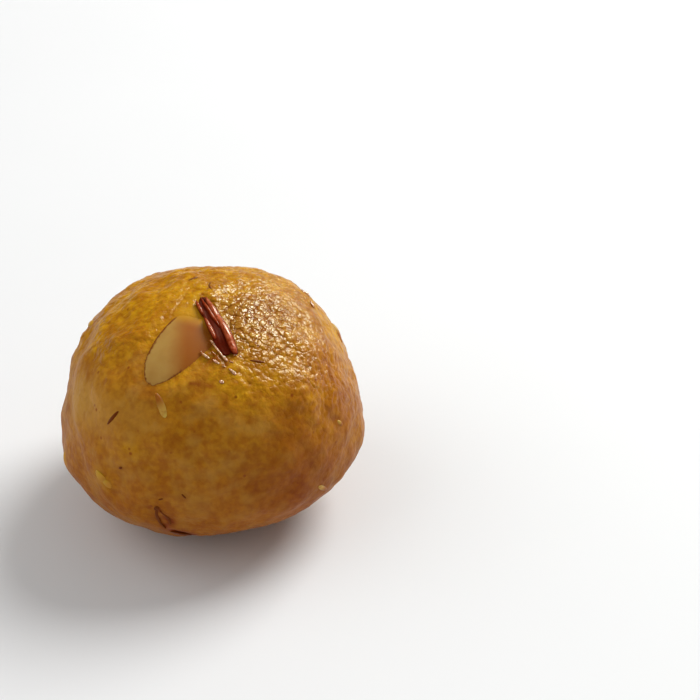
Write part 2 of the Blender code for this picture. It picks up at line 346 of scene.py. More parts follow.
def seats(ways, relief):
    """The relief with slices and curls pressed in, where dough films over a slice, and where it is held.

    Beside a slice the dough comes up to the level of its top, with a groove between them, and under it the
    dough is lower. Where dough covers the slice it lies a little above. Under a curl the dough gives way.
    """
    spots = ball_point(ways)
    film, held = np.zeros(len(ways)), np.zeros(len(ways))
    for first_end, other_end, half_width, narrowing, _, cover, _ in FLAKES.values():
        middle, along, left, out, half_length = flake_axes(first_end, other_end)
        rel = spots - middle
        x, y = rel @ along, rel @ left
        across = y / (half_width * MM) / (1.0 - narrowing * np.clip(x / half_length, -1.2, 1.2))
        reach = np.abs(x / half_length) ** FLAKE_SQUARENESS + np.abs(across) ** 2
        reach = np.where(rel @ out > -SEAT_REACH * MM, reach ** (1.0 / FLAKE_ROUNDNESS), np.inf)
        covered = side_share(x, y, cover, FILM_FADE)
        level = (flake_level(x, y, np.clip(reach, 0.0, 1.0)) - rel @ out) / (ways @ out)
        bare = BARE_DEPTH * (1.0 - smooth_step(reach, *GAP_ENDS)) + RIM_GROOVE * bell(reach, *GROOVE)
        near = 1.0 - smooth_step(reach, *RAISED_ENDS)
        above = FILM_THICKNESS * covered - (1.0 - covered) * bare
        relief = relief + near * (level + MM * above - relief)
        film = np.maximum(film, covered * (1.0 - smooth_step(reach, *FILM_ENDS)))
        held = np.maximum(held, (1.0 - covered) * (1.0 - smooth_step(reach, *HELD_ENDS)))
    for spots, half_width, _ in CURLS.values():
        cosines = ways @ path_ways(spots, np.linspace(0.02, 0.98, 61)).T
        apart = np.arccos(np.clip(cosines.max(axis=1), -1.0, 1.0)) * NOMINAL_RADIUS / MM
        under = 1.0 - smooth_step(apart / half_width, *BED_ENDS)
        relief = relief - CURL_BED * MM * under
        held = np.maximum(held, under)
    return relief, film, held


# Meshes


def shell_faces(rows, columns):
    """Faces of a closed shell: rows of points around it, with a pole before the first and after the last."""
    row, column = np.meshgrid(np.arange(rows - 1), np.arange(columns), indexing="ij")
    beside = (column + 1) % columns
    quads = np.stack([row * columns + column, row * columns + beside,
                      (row + 1) * columns + beside, (row + 1) * columns + column], axis=-1).reshape(-1, 4)
    ring, following = np.arange(columns), (np.arange(columns) + 1) % columns
    first_pole = np.full(columns, rows * columns)
    last = (rows - 1) * columns
    start = np.stack([following, ring, first_pole], axis=1)
    end = np.stack([last + ring, last + following, first_pole + 1], axis=1)
    return quads.tolist() + start.tolist() + end.tolist()


def join(parts):
    """Several (points, faces, attributes) as one."""
    points, faces, offset = [], [], 0
    for part_points, part_faces, _ in parts:
        points.append(part_points)
        faces += [[corner + offset for corner in face] for face in part_faces]
        offset += len(part_points)
    names = parts[0][2].keys()
    attributes = {name: np.concatenate([part[2][name] for part in parts]) for name in names}
    return np.concatenate(points), faces, attributes


def add_piece(name, points, faces, attributes, finish, slot):
    """A smooth mesh object that rides on the ladoo, with its attributes' values for each vertex."""
    mesh = bpy.data.meshes.new(name)
    mesh.from_pydata(points, [], faces)
    for attribute, values in attributes.items():
        layer = mesh.attributes.new(attribute, "FLOAT", "POINT")
        layer.data.foreach_set("value", np.asarray(values, np.float32))
    mesh.shade_smooth()
    mesh.materials.append(finish)
    mesh.validate()
    mesh.update()
    piece = bpy.data.objects.new(name, mesh)
    bpy.context.scene.collection.objects.link(piece)
    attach(piece, "root")
    return piece


def slice_shell(first_end, other_end, half_width, narrowing, skin_arc, cover, veil, rows=60, columns=168):
    """A slice of almond: an egg outline shrunk towards its middle, closed over its top, rim and underside.

    The outline is a superellipse that narrows towards one end, with two faint waves along it. Going out from
    the middle of the top, over the rim and back under it, the share of the outline is a power of the sine
    of a turn from 0 to half a circle, and the height a power of its cosine. The plate is then bent.
    """
    middle, along, left, out, half_length = flake_axes(first_end, other_end)
    turn = np.linspace(0.0, np.pi, rows + 2)[1:-1]
    turn = turn - 0.36 * np.sin(2.0 * turn)
    angle = np.linspace(0.0, 2.0 * np.pi, columns, endpoint=False)
    turn, angle = np.meshgrid(turn, angle, indexing="ij")
    turn = np.concatenate([turn.ravel(), [0.0, np.pi]])
    angle = np.concatenate([angle.ravel(), [0.0, 0.0]])

    cosine, sine = np.cos(angle), np.sin(angle)
    outline = (np.abs(cosine) ** FLAKE_SQUARENESS + np.abs(sine) ** 2) ** (-1.0 / FLAKE_ROUNDNESS)
    outline *= 1.0 + 0.010 * np.sin(5.0 * angle + half_width) + 0.006 * np.sin(11.0 * angle + 2.0)
    share = np.sin(turn) ** 0.8
    x = half_length * share * outline * cosine
    y = half_width * MM * share * outline * sine * (1.0 - narrowing * share * cosine)
    thickness = bpy.context.scene.ladoo_almond.slice_thickness
    rounded = 1.0 - (1.0 - FLAKE_RIM) * share**2
    under = 0.5 * (1.0 - np.sign(np.cos(turn)) * np.abs(np.cos(turn)) ** 0.30)
    height = flake_level(x, y, share) - thickness * rounded * under
    points = middle + x[:, None] * along + y[:, None] * left + height[:, None] * out

    degrees = np.degrees(angle)
    on_arc = smooth_step(degrees, skin_arc[0] - SKIN_FADE, skin_arc[0] + SKIN_FADE)
    on_arc *= 1.0 - smooth_step(degrees, skin_arc[1] - SKIN_FADE, skin_arc[1] + SKIN_FADE)
    from_rim = np.hypot(x, y) / MM * (1.0 / np.maximum(share, 0.05) - 1.0)
    band = 1.0 - smooth_step(from_rim, 0.4 * SKIN_BAND, 1.6 * SKIN_BAND)
    band = np.where(turn > 0.5 * np.pi, 1.0, band)

    # The dough shines through a little before it closes over the slice
    near_cover = side_share(x, y, (cover[0], cover[1] - SHINES_THROUGH * FILM_FADE), FILM_FADE)
    attributes = {"skin": on_arc * band, "veil": side_share(x, y, veil, VEIL_FADE), "cover": near_cover}
    faces = [face[::-1] for face in shell_faces(rows, columns)]
    return points, faces, attributes


# Strips: curls of skin, splinters and flecks


def path_ways(spots, shares):
    """Ways along the smooth curve from the first spot to the last, past the middle one."""
    first, last = spots[0], spots[-1]
    bend = spots[1] if len(spots) == 3 else 0.5 * (first + last)
    control = 2.0 * bend - 0.5 * (first + last)
    shares = shares[:, None]
    return unit((1 - shares) ** 2 * first + 2 * shares * (1 - shares) * control + shares**2 * last)


def dome(t, share):
    """A rounded back, the same all along: one less just over half the square of t, 1 at the left edge."""
    return 1.0 - 0.55 * t**2


def fibrous(t, share):
    """A nearly flat sheet: two sines across it are its fibres, and its edges turn up as the square of t."""
    fibres = 0.10 * np.sin(13.0 * t + 5.0 * share) + 0.07 * np.sin(31.0 * t - 7.0 * share)
    return 0.75 + fibres + 0.25 * t**2


def rolled(t, share):
    """A rolled edge: an ellipse's height, higher on its left, and lumpy along its length as a sine."""
    lumps = 1.0 + 0.06 * np.sin(19.0 * share)
    return np.sqrt(np.clip(1.0 - 0.85 * t**2, 0.0, None)) * (1.0 + 0.28 * t) * lumps


def crinkle(t, share):
    """A rounded back that rises and falls along the fold as two sines, as thin wet skin does."""
    return (1.0 - 0.5 * t**2) * (0.72 + 0.20 * np.sin(11.0 * share + 1.0) + 0.08 * np.sin(29.0 * share))


def strip_shell(spots, half_width, rise, belly=0.0, shape=dome, rows=24, columns=20, depth=0.5,
                bluntness=2.0):
    """A strip pressed into the dough along the curve through spots, closed under the surface.

    Round the strip a turn runs from its left edge over the back to its right edge and on underneath, and t
    is its cosine. Over the back the height is rise times shape and a root of the turn's sine, and underneath
    it is the depth times the sine. The width follows the square root of one less a power of the distance
    from the strip's middle, the height a root of the same, and belly widens its start.
    """
    shares = np.linspace(0.0, 1.0, rows + 2)
    ways = path_ways(spots, shares)
    centres, normals = surface_frame(ways)
    ahead = unit(np.gradient(centres, axis=0))
    left = unit(np.cross(normals, ahead))
    taper = np.sqrt(np.clip(1.0 - np.abs(2.0 * shares - 1.0) ** bluntness, 0.0, None))
    width = half_width * MM * taper * (1.0 + belly * (0.5 - shares))

    turn = np.linspace(0.0, 2.0 * np.pi, columns, endpoint=False)
    t = np.cos(turn)
    inner = slice(1, -1)
    over = rise * shape(t[None, :], shares[inner, None]) * np.abs(np.sin(turn)) ** 0.45
    height = np.where(np.sin(turn) > -1e-9, over, depth * np.sin(turn)) * taper[inner, None] ** 0.7
    points = (centres[inner, None, :] + left[inner, None, :] * (width[inner, None] * t)[..., None]
              + normals[inner, None, :] * (height * MM)[..., None]).reshape(-1, 3)
    points = np.concatenate([points, centres[[0, -1]]])
    crest = np.concatenate([height.ravel(), [0.0, 0.0]])
    along = np.concatenate([np.repeat(shares[inner], columns), [0.0, 1.0]])
    return points, shell_faces(rows, columns), {"crest": crest, "along": along}


# A curl of almond skin: the spots that its middle passes from the lower end, half width and rise in mm
CURLS = {
    "front": ((seen(3.7, 7.5), seen(1.95, 12.2), seen(-0.9, 17.1)), 1.40, 1.00),
    "back": ((around(158, 12), around(166, 26), around(178, 36)), 1.0, 0.7),
    "side": ((around(104, -24), around(109, -10), around(106, 4)), 0.9, 0.6),
}

# What a curl is rolled from, as shares of its length and of its half width and rise: where each strip starts
# and ends, how far left of the middle it is at both ends, its half width and rise, how much its start is
# widened, its shape and how blunt its ends are. First the sheet, then its rolled edge and three ridges.
CURL_STRIPS = (
    (0.00, 0.98, 0.00, 0.00, 0.92, 0.22, 0.25, fibrous, 4.0),
    (-0.03, 0.95, -0.90, -0.34, 0.42, 0.80, 0.30, rolled, 5.0),
    (0.42, 0.98, -0.20, 0.16, 0.24, 0.55, 0.0, rolled, 2.5),
    (0.26, 0.66, 0.72, 0.92, 0.25, 0.66, 0.3, rolled, 2.5),
    (0.70, 0.96, 0.88, 0.78, 0.22, 0.62, 0.0, rolled, 2.5),
)


def beside(spots, start, stop, left_start, left_stop):
    """Three ways along a part of the curve through spots, moved so many mm to its left."""
    shares = np.linspace(start, stop, 3)
    ways = path_ways(spots, shares)
    left = unit(np.cross(ways, path_ways(spots, shares + CURVE_STEP) - ways))
    shift = np.linspace(left_start, left_stop, 3) * MM / NOMINAL_RADIUS
    return tuple(unit(ways + shift[:, None] * left))


def curl_shells(spots, half_width, rise):
    """The strips of one curl of almond skin: a sheet, its rolled edge and the ridges beside it."""
    shells = []
    for start, stop, left_start, left_stop, width, height, belly, shape, bluntness in CURL_STRIPS:
        path = beside(spots, start, stop, left_start * half_width, left_stop * half_width)
        shells.append(strip_shell(path, width * half_width, height * rise, belly, shape,
                                  rows=70, columns=36, bluntness=bluntness))
    return shells


# Each strip from its lower end: the spots that it passes, half width and rise in mm, and how much its start
# is widened. First a fold baked brown at the bottom edge: two edges, the bit where they meet and a dark lip.
BOTTOM_FOLD = {
    "left": ((seen(-5.5, -17.0), seen(-6.5, -15.4), seen(-6.3, -13.9)), 0.25, 0.06, -0.5),
    "right": ((seen(-4.7, -16.3), seen(-5.2, -15.3), seen(-6.1, -14.3)), 0.22, 0.08, 0.3),
    "top": ((seen(-6.8, -14.2), seen(-6.2, -13.8)), 0.34, 0.10, 0.0),
    "lip": ((seen(-5.2, -18.0), seen(-3.9, -18.2), seen(-2.1, -18.5)), 0.50, 0.05, 0.4),
}

# Splinters of nut that lie in the surface
SPLINTERS = {
    "front": ((seen(-5.0, -1.6), seen(-5.7, 0.3), seen(-6.5, 1.9)), 0.52, 0.20, 0.5),
    "shoulder": ((seen(17.9, 11.9), seen(19.5, 8.9)), 0.65, 0.26, 0.0),
    "low_right": ((seen(15.3, -11.3), seen(16.2, -11.8)), 0.36, 0.26, 0.0),
    "right": ((seen(18.3, -2.3), seen(18.8, -2.9)), 0.30, 0.22, 0.0),
}
GREEN_SPLINTERS = {
    "low_left": ((seen(-14.6, -8.7), seen(-14.0, -9.7), seen(-13.6, -10.3)), 0.80, 0.12, -0.5),
    "low_left_lower": ((seen(-13.8, -9.9), seen(-13.3, -10.6), seen(-12.7, -11.1)), 0.62, 0.10, -0.5),
    "lip_left": ((seen(-19.7, -6.6), seen(-19.3, -8.4)), 0.50, 0.12, 0.0),
    "far_a": ((around(148, -12), around(156, -20)), 0.70, 0.30, 0.0),
    "far_b": ((around(-100, 34), around(-108, 28)), 0.60, 0.30, 0.0),
}

# Flecks of almond skin
FLECKS = {
    "left": ((seen(-13.2, -2.6), seen(-11.5, -0.7)), 0.28, 0.12, 0.0),
    "right_of_curl": ((seen(6.8, 6.6), seen(8.9, 6.2)), 0.19, 0.10, 0.0),
    "crown": ((seen(-3.3, 19.6), seen(-1.9, 20.2)), 0.20, 0.10, 0.0),
    "crown_line": ((seen(0.5, 19.9), seen(0.2, 19.0), seen(1.1, 17.8)), 0.12, 0.10, 0.0),
    "dot_low_left": ((seen(-11.6, -8.6), seen(-11.1, -8.4)), 0.20, 0.10, 0.0),
    "dash_low_left": ((seen(-6.2, -12.9), seen(-5.5, -12.7)), 0.14, 0.09, 0.0),
    "dash_low": ((seen(-2.9, -12.0), seen(-2.3, -12.6)), 0.14, 0.09, 0.0),
}

# Thin skin crumpled at the curl's foot, wet with ghee, a bright dot below it, and pink bits on the edge
FOLDS = {
    "strand": ((seen(3.3, 6.9), seen(2.3, 8.2), seen(1.1, 9.7)), 0.17, 0.30, 0.5),
    "strand_top": ((seen(1.9, 9.0), seen(1.0, 9.8)), 0.17, 0.32, -0.4),
    "strand_foot": ((seen(3.7, 6.5), seen(2.8, 7.6)), 0.23, 0.36, 0.6),
    "strand_end": ((seen(4.5, 6.2), seen(3.9, 6.6)), 0.16, 0.18, 0.0),
    "low_start": ((seen(1.1, 6.95), seen(0.4, 7.4), seen(-0.4, 8.3)), 0.16, 0.24, 0.4),
    "low_start_foot": ((seen(1.1, 6.9), seen(0.1, 7.7)), 0.20, 0.30, 0.3),
    "low_middle": ((seen(2.6, 6.1), seen(1.5, 6.85)), 0.20, 0.32, 0.2),
    "low_faint": ((seen(3.4, 5.6), seen(2.9, 5.9)), 0.12, 0.12, 0.0),
    "low_end": ((seen(4.7, 4.65), seen(3.8, 5.45)), 0.19, 0.28, 0.5),
    "low_end_foot": ((seen(4.9, 4.45), seen(4.2, 5.1)), 0.24, 0.34, 0.5),
    "between": ((seen(2.0, 7.4), seen(1.3, 8.15)), 0.12, 0.13, 0.0),
    "beside_curl": ((seen(5.7, 7.1), seen(5.3, 7.4)), 0.18, 0.26, 0.0),
    "curl_foot": ((seen(5.0, 7.4), seen(4.5, 7.5)), 0.14, 0.22, 0.0),
    "bright_dot": ((seen(3.2, 3.3), seen(2.5, 3.65)), 0.28, 0.30, 0.0),
    "edge": ((seen(13.3, 16.8), seen(14.5, 15.7)), 0.34, 0.36, 0.0),
    "edge_low": ((seen(14.8, 15.2), seen(15.6, 14.3)), 0.30, 0.30, 0.0),
}

# On the side away from the front: how many, half their length and their least spacing in degrees, half width
# and rise in mm, and the seed
FAR_SPLINTERS = (9, (2.6, 4.6), 16.0, 0.55, 0.24, 11)
FAR_FLECKS = (22, (1.0, 2.6), 8.0, 0.20, 0.10, 17)

# In degrees: how far around and up they are, and how far they keep from the middles of slices and curls
FAR_TURNS, FAR_RISES = (95, 265), (-30, 60)
CLEARANCE = 17.0


def far_side_strips(count, reach, spacing, half_width, rise, seed):
    """Short strips on the side away from the front, by a seeded draw, none of them close together."""
    draw = np.random.default_rng(seed)
    closest = np.cos(np.radians(spacing))
    slices = [spots[0] + spots[1] for spots in FLAKES.values()]
    large = unit(np.array(slices + [spots[1] for spots, _, _ in CURLS.values()]))
    middles, strips = [], {}
    while len(strips) < count:
        turn, height, heading = draw.uniform(*FAR_TURNS), draw.uniform(*FAR_RISES), draw.uniform(0, np.pi)
        way = around(turn, height)
        if way @ TOWARDS_VIEWER > PAST_THE_EDGE or any(way @ other > closest for other in middles):
            continue
        if (large @ way).max() > np.cos(np.radians(CLEARANCE)):
            continue
        half = draw.uniform(*reach)
        end = around(turn + half * np.cos(heading), height + half * np.sin(heading))
        start = around(turn - half * np.cos(heading), height - half * np.sin(heading))
        middles.append(way)
        strips[f"far_{len(middles)}"] = ((start, end), half_width, rise, 0.0)
    return strips


# Patches, as spots and spreads in mm seen from the front, and their strength
TOASTED_SPOTS = (
    (11.3, -2.2, 2.0, 0.40), (10.1, -4.6, 1.5, 0.40), (-19.8, -0.8, 1.6, 0.5), (-16.4, 4.4, 0.8, 0.6),
    (-14.7, 6.0, 0.7, 0.5), (-0.4, -4.0, 1.0, 0.4), (-3.8, -4.6, 0.8, 0.35), (14.5, -6.0, 3.0, 0.3),
    (-5.5, -15.6, 1.2, 0.8), (7.8, 5.4, 1.2, 0.4), (-0.2, 3.1, 1.0, 0.25), (-11.4, -8.5, 0.5, 0.6),
    (-3.6, -17.8, 1.4, 1.0), (9.0, -9.0, 2.5, 0.2), (0.3, 8.8, 0.8, 0.8), (2.3, 7.1, 0.9, 0.9),
    (3.5, 6.2, 0.6, 0.9), (-17.0, 5.4, 0.5, 0.6), (5.6, 9.8, 0.7, 0.4), (0.9, -7.0, 0.5, 0.4),
    (1.3, 6.4, 0.5, 0.7), (2.9, 5.4, 0.5, 0.7), (-2.4, -18.6, 0.9, 1.0), (-4.4, -15.0, 0.6, 0.5),
    (-7.6, 2.0, 0.9, 0.4), (1.0, 6.4, 0.6, 0.5), (-1.5, 3.2, 0.35, 0.9), (-0.9, 3.2, 0.32, 0.9),
    (-0.4, 3.1, 0.30, 0.8), (0.7, 2.9, 0.30, 0.9), (1.3, 2.9, 0.30, 0.9), (-4.6, -16.0, 0.6, 1.0),
    (-0.2, 12.3, 1.0, 0.9), (0.2, 11.0, 1.0, 1.0), (0.5, 9.7, 0.9, 0.8),
)

# In the same way: painted light, paler on the left of the palm's side; where ghee pooled; painted shade on
# the right and lower right; where the dough is torn; and where nuts just under it colour it yellow
# Painted light: paler patches on the left of the palm's side
PAINTED_LIGHT_SPOTS = ((-18.0, 1.0, 4.0, 0.9), (-14.0, -1.5, 3.5, 0.5), (-9.0, -1.5, 3.0, 0.3))
# Where ghee pooled: its gloss, and also a painted sheen and painted shade between the crumbs there
GHEE_SPOTS = ((7.6, 13.6, 6.6, 1.0), (15.5, 5.5, 4.5, 0.24), (-14.5, 8.5, 4.0, 0.30))
# Painted shade on the right and lower right of the dough
PAINTED_SHADE_SPOTS = ((17.5, 4.5, 7.5, 0.60), (13.0, -10.0, 7.0, 0.45))
TORN_SPOTS = (
    (-6.2, -14.2, 0.5, 0.5), (-5.6, -16.6, 0.7, 0.6), (-6.4, -15.6, 0.5, 0.4), (-5.0, -15.7, 0.5, 0.4),
    (-7.5, -13.9, 0.4, 0.5), (-4.5, -17.6, 0.8, 0.9), (-3.4, -18.2, 0.8, 1.0), (-2.3, -18.8, 0.7, 0.9),
)
YELLOW_SPOTS = (
    (-9.9, -6.0, 1.2, 1.0), (-10.0, 14.5, 4.0, 0.6), (18.6, 10.6, 1.6, 1.0), (-2.0, 18.0, 3.0, 0.7),
    (-2.5, 15.0, 2.0, 0.6), (9.0, 3.5, 3.5, 0.1), (13.0, 6.0, 2.5, 0.15), (-13.8, -10.2, 1.4, 1.0),
    (-19.4, -7.9, 1.3, 0.9),
)


def spots_field(ways, spots):
    """Soft round patches added up: each falls off as a bell over its spread."""
    total = np.zeros(len(ways))
    for across, up, spread, strength in spots:
        apart = np.arccos(np.clip(ways @ seen(across, up), -1.0, 1.0)) * NOMINAL_RADIUS / MM
        total += strength * bell(apart, 0.0, spread)
    return total


def far_patches(ways, spacing, seed):
    """Patches on the side away from the front, where a slow field is high."""
    away = smooth_step(-(ways @ TOWARDS_VIEWER), *PATCH_FADE)
    return away * smooth_step(wave_field(ways, spacing, PATCH_WAVES, seed), *PATCH_HEIGHTS)


def rolled_dough(ways):
    """The dough's relief in metres, and the attributes that its material reads.

    The relief is the broad lumps with the seats pressed in, and on it two fields of grain, each flattened by
    a hyperbolic tangent, less the torn spots. The attributes are the patches of each kind, added up.
    """
    dough = bpy.context.scene.ladoo_dough
    wet = wetness(ways)
    relief, film, held = seats(ways, slow_relief(ways))
    spacing = dough.grain_spacing / MM
    worms = np.tanh(WORM_STEEPNESS * wave_field(ways, WORMS[0] * spacing, *WORMS[1:]))
    knots = np.tanh(wave_field(ways, KNOTS[0] * spacing, *KNOTS[1:]))
    grain = dough.grain_height * (SMOOTH_GRAIN + (1.0 - SMOOTH_GRAIN) * wet)
    grain *= (1.0 - FILM_EVENS * film) * (1.0 - held)
    torn = spots_field(ways, TORN_SPOTS)
    relief += grain * (worms + KNOT_SHARE * knots) - TORN_DEPTH * MM * torn

    toasted = spots_field(ways, TOASTED_SPOTS) + torn + TOASTED_BEHIND * far_patches(ways, *TOASTED_PATCHES)
    toasted = np.clip(toasted, 0.0, TOASTED_MOST)
    yellow = spots_field(ways, YELLOW_SPOTS) + far_patches(ways, *YELLOW_PATCHES)
    away = smooth_step(-(ways @ TOWARDS_VIEWER), *GHEE_FADE)
    ghee = np.clip(LEAST_GHEE + spots_field(ways, GHEE_SPOTS) + GHEE_BEHIND * away, 0.0, 1.0)
    ghee *= wet * (1.0 - film)
    # Painted light: paler on the left of the palm's side, and a painted sheen where ghee pooled
    bloom_and_light = np.clip(spots_field(ways, PAINTED_LIGHT_SPOTS), 0.0, 1.0) * (1.0 - wet) + GHEE_PAINTED_SHEEN * ghee**2
    # Painted shade: darker in the coarse hollows where ghee pooled, in the torn spots, and on the right and
    # lower right
    painted_shade = HOLLOW_PAINTED_SHADE * np.clip(-worms, 0.0, 1.0) * ghee + torn + spots_field(ways, PAINTED_SHADE_SPOTS)
    # Painted shade, darker towards the underside
    painted_shade += UNDERSIDE_PAINTED_SHADE * smooth_step(-ways[:, 2], *UNDERSIDE_FADE)
    return relief, {
        "wet": wet * (1.0 - FILM_DRIES * film),
        "film": film * np.clip(1.0 - toasted, 0.0, 1.0),
        "toasted": toasted,
        "yellow": np.clip(yellow, 0.0, YELLOW_MOST),
        "ghee": ghee,
        "bloom_and_light": bloom_and_light,
        "painted_shade": np.clip(painted_shade, 0.0, 1.0),
    }


# Colours and nodes

NOISE, CELLS = "ShaderNodeTexNoise", "ShaderNodeTexVoronoi"
RANGE, MATHS, BUMP = "ShaderNodeMapRange", "ShaderNodeMath", "ShaderNodeBump"
VECTOR_MATHS = "ShaderNodeVectorMath"
VALUE_OF, PLACE = "ShaderNodeAttribute", "ShaderNodeTexCoord"

# A Map Range node takes its value at socket 0, over the range of sockets 1 and 2, and gives that of 3 and 4.
# What is left out is 0 for a range's start and 1 for its end.

# A Mix node set to colours has its share, colours and result at these sockets
MIX, SHARE, UNDER, OVER, RESULT = "ShaderNodeMix", 0, 6, 7, 2


def linear(hex_colour):
    """An sRGB hex colour as linear red, green, blue and alpha."""
    values = np.array([int(hex_colour[place:place + 2], 16) for place in (1, 3, 5)]) / 255.0
    values = np.where(values <= 0.04045, values / 12.92, ((values + 0.055) / 1.055) ** 2.4)
    return (*values.tolist(), 1.0)


def with_alpha(colour):
    """A colour setting as a node's colour."""
    return (*colour, 1.0)


def scale_of(size):
    """A texture's scale for features of about this size in mm."""
    return 1.0 / (size * MM)


def set_inputs(tree, node, inputs):
    """Gives sockets, by name or place, values or links from other nodes' outputs."""
    for name, value in inputs.items():
        if isinstance(value, bpy.types.NodeSocket):
            tree.links.new(value, node.inputs[name])
        else:
            node.inputs[name].default_value = value


def add_node(tree, kind, inputs, output=0, **settings):
    """Adds a node with its settings and inputs, and returns one of its outputs."""
    node = tree.nodes.new(kind)
    for name, value in settings.items():
        setattr(node, name, value)
    set_inputs(tree, node, inputs)
    return node.outputs[output]


def new_material(name):
    """A material, its tree, its shader and the piece's own coordinates."""
    made = bpy.data.materials.new(name)
    made.use_nodes = True
    tree = made.node_tree
    return made, tree, tree.nodes["Principled BSDF"], add_node(tree, PLACE, {}, "Object")


def gram_flour_dough():
    """Roasted gram flour bound with ghee and rolled in the palm: dense, moist and a little translucent.

    It gives the eye golden patches among amber ones, grains that toasted unevenly, specks of bran, a glint
    of ghee on each crumb where it pooled, and a waxy sheen where the palm smoothed it.
    """
    dough = bpy.context.scene.ladoo_dough
    made, tree, shader, place = new_material("roasted_gram_flour_dough")
    golden, amber, waxy = with_alpha(dough.golden), with_alpha(dough.amber), with_alpha(dough.waxy)
    yellow, toasted, filmed = with_alpha(dough.yellow), with_alpha(dough.toasted), with_alpha(dough.filmed)
    bloom_and_light_colour = with_alpha(dough.bloom_and_light_colour)
    wet = add_node(tree, VALUE_OF, {}, "Fac", attribute_name="wet")

    # The palm's side is waxy, the rest golden, and both have patches of 6 mm that were roasted darker
    colour = add_node(tree, MIX, {SHARE: wet, UNDER: waxy, OVER: golden}, RESULT, data_type="RGBA")
    patch = add_node(tree, NOISE, {"Vector": place, "Scale": scale_of(6.0), "Detail": 3.0})
    patch = add_node(tree, RANGE, {0: patch, 1: 0.42, 2: 0.66, 4: 0.80})
    colour = add_node(tree, MIX, {SHARE: patch, UNDER: colour, OVER: amber}, RESULT, data_type="RGBA")
    share = add_node(tree, VALUE_OF, {}, "Fac", attribute_name="yellow")
    colour = add_node(tree, MIX, {SHARE: share, UNDER: colour, OVER: yellow}, RESULT, data_type="RGBA")

    # Grains of flour toast unevenly, so the hue and the shade change over about a millimetre
    grain = add_node(tree, NOISE, {"Vector": place, "Scale": scale_of(1.3), "Detail": 2.0})
    grain = add_node(tree, RANGE, {0: grain, 1: 0.42, 2: 0.66, 4: 0.65})
    colour = add_node(tree, MIX, {SHARE: grain, UNDER: colour, OVER: amber}, RESULT, data_type="RGBA")
    mottle = add_node(tree, NOISE, {"Vector": place, "Scale": scale_of(0.95), "Detail": 3.0})
    mottle = add_node(tree, RANGE, {0: mottle, 1: 0.36, 2: 0.64, 4: 0.42})
    colour = add_node(tree, MIX, {SHARE: mottle, UNDER: colour, OVER: amber}, RESULT,
                      data_type="RGBA", blend_type="MULTIPLY")

    # The fat turned pale in places on the palm's side, with painted light on its left and a painted sheen
    # where ghee pooled, and the flour is reddish in places all over
    bloom_and_light = add_node(tree, NOISE, {"Vector": place, "Scale": scale_of(3.4), "Detail": 3.0})
    bloom_and_light = add_node(tree, RANGE, {0: bloom_and_light, 1: 0.48, 2: 0.66, 4: 0.45})
    dry = add_node(tree, RANGE, {0: wet, 3: 1.0, 4: 0.0})
    bloom_and_light = add_node(tree, MATHS, {0: bloom_and_light, 1: dry}, operation="MULTIPLY")
    share = add_node(tree, VALUE_OF, {}, "Fac", attribute_name="bloom_and_light")
    bloom_and_light = add_node(tree, MATHS, {0: bloom_and_light, 1: share}, operation="MAXIMUM")
    colour = add_node(tree, MIX, {SHARE: bloom_and_light, UNDER: colour, OVER: bloom_and_light_colour}, RESULT, data_type="RGBA")
    inputs = {"Vector": place, "Scale": scale_of(2.0), "Detail": 3.0, "Distortion": 0.4}
    blush = add_node(tree, NOISE, inputs)
    blush = add_node(tree, RANGE, {0: blush, 1: 0.54, 2: 0.72, 4: 0.32})
    colour = add_node(tree, MIX, {SHARE: blush, UNDER: colour, OVER: toasted}, RESULT, data_type="RGBA")
    share = add_node(tree, VALUE_OF, {}, "Fac", attribute_name="toasted")
    ragged = add_node(tree, NOISE, {"Vector": place, "Scale": scale_of(1.1), "Detail": 2.0})
    ragged = add_node(tree, RANGE, {0: ragged, 1: 0.25, 2: 0.60, 3: 0.35})
    share = add_node(tree, MATHS, {0: share, 1: ragged}, operation="MULTIPLY")
    colour = add_node(tree, MIX, {SHARE: share, UNDER: colour, OVER: toasted}, RESULT, data_type="RGBA")

    # Specks of bran up to half a millimetre across, in some of the cells of 1.9 mm
    speck = add_node(tree, CELLS, {"Vector": place, "Scale": scale_of(1.9)})
    speck = add_node(tree, RANGE, {0: speck, 1: 0.07, 2: 0.16, 3: 0.85, 4: 0.0})
    chosen = add_node(tree, NOISE, {"Vector": place, "Scale": scale_of(2.6), "Detail": 0.0})
    chosen = add_node(tree, RANGE, {0: chosen, 1: 0.52, 2: 0.58})
    share = add_node(tree, MATHS, {0: speck, 1: chosen}, operation="MULTIPLY")
    colour = add_node(tree, MIX, {SHARE: share, UNDER: colour, OVER: toasted}, RESULT, data_type="RGBA")

    # Crumbs of 0.8 mm that touch, rough and pulled out of round: each falls off as the distance squared
    warp = add_node(tree, NOISE, {"Vector": place, "Scale": scale_of(1.2), "Detail": 2.0}, "Color")
    warp = add_node(tree, VECTOR_MATHS, {0: warp, 1: (1.3 * MM,) * 3, 2: place}, operation="MULTIPLY_ADD")
    crumb = add_node(tree, CELLS, {"Vector": warp, "Scale": scale_of(0.80)})
    crumb = add_node(tree, MATHS, {0: crumb, 1: 2.0}, operation="POWER")
    rough = add_node(tree, NOISE, {"Vector": place, "Scale": scale_of(0.45), "Detail": 2.0})
    crumb = add_node(tree, MATHS, {0: rough, 1: 0.35, 2: crumb}, operation="MULTIPLY_ADD")

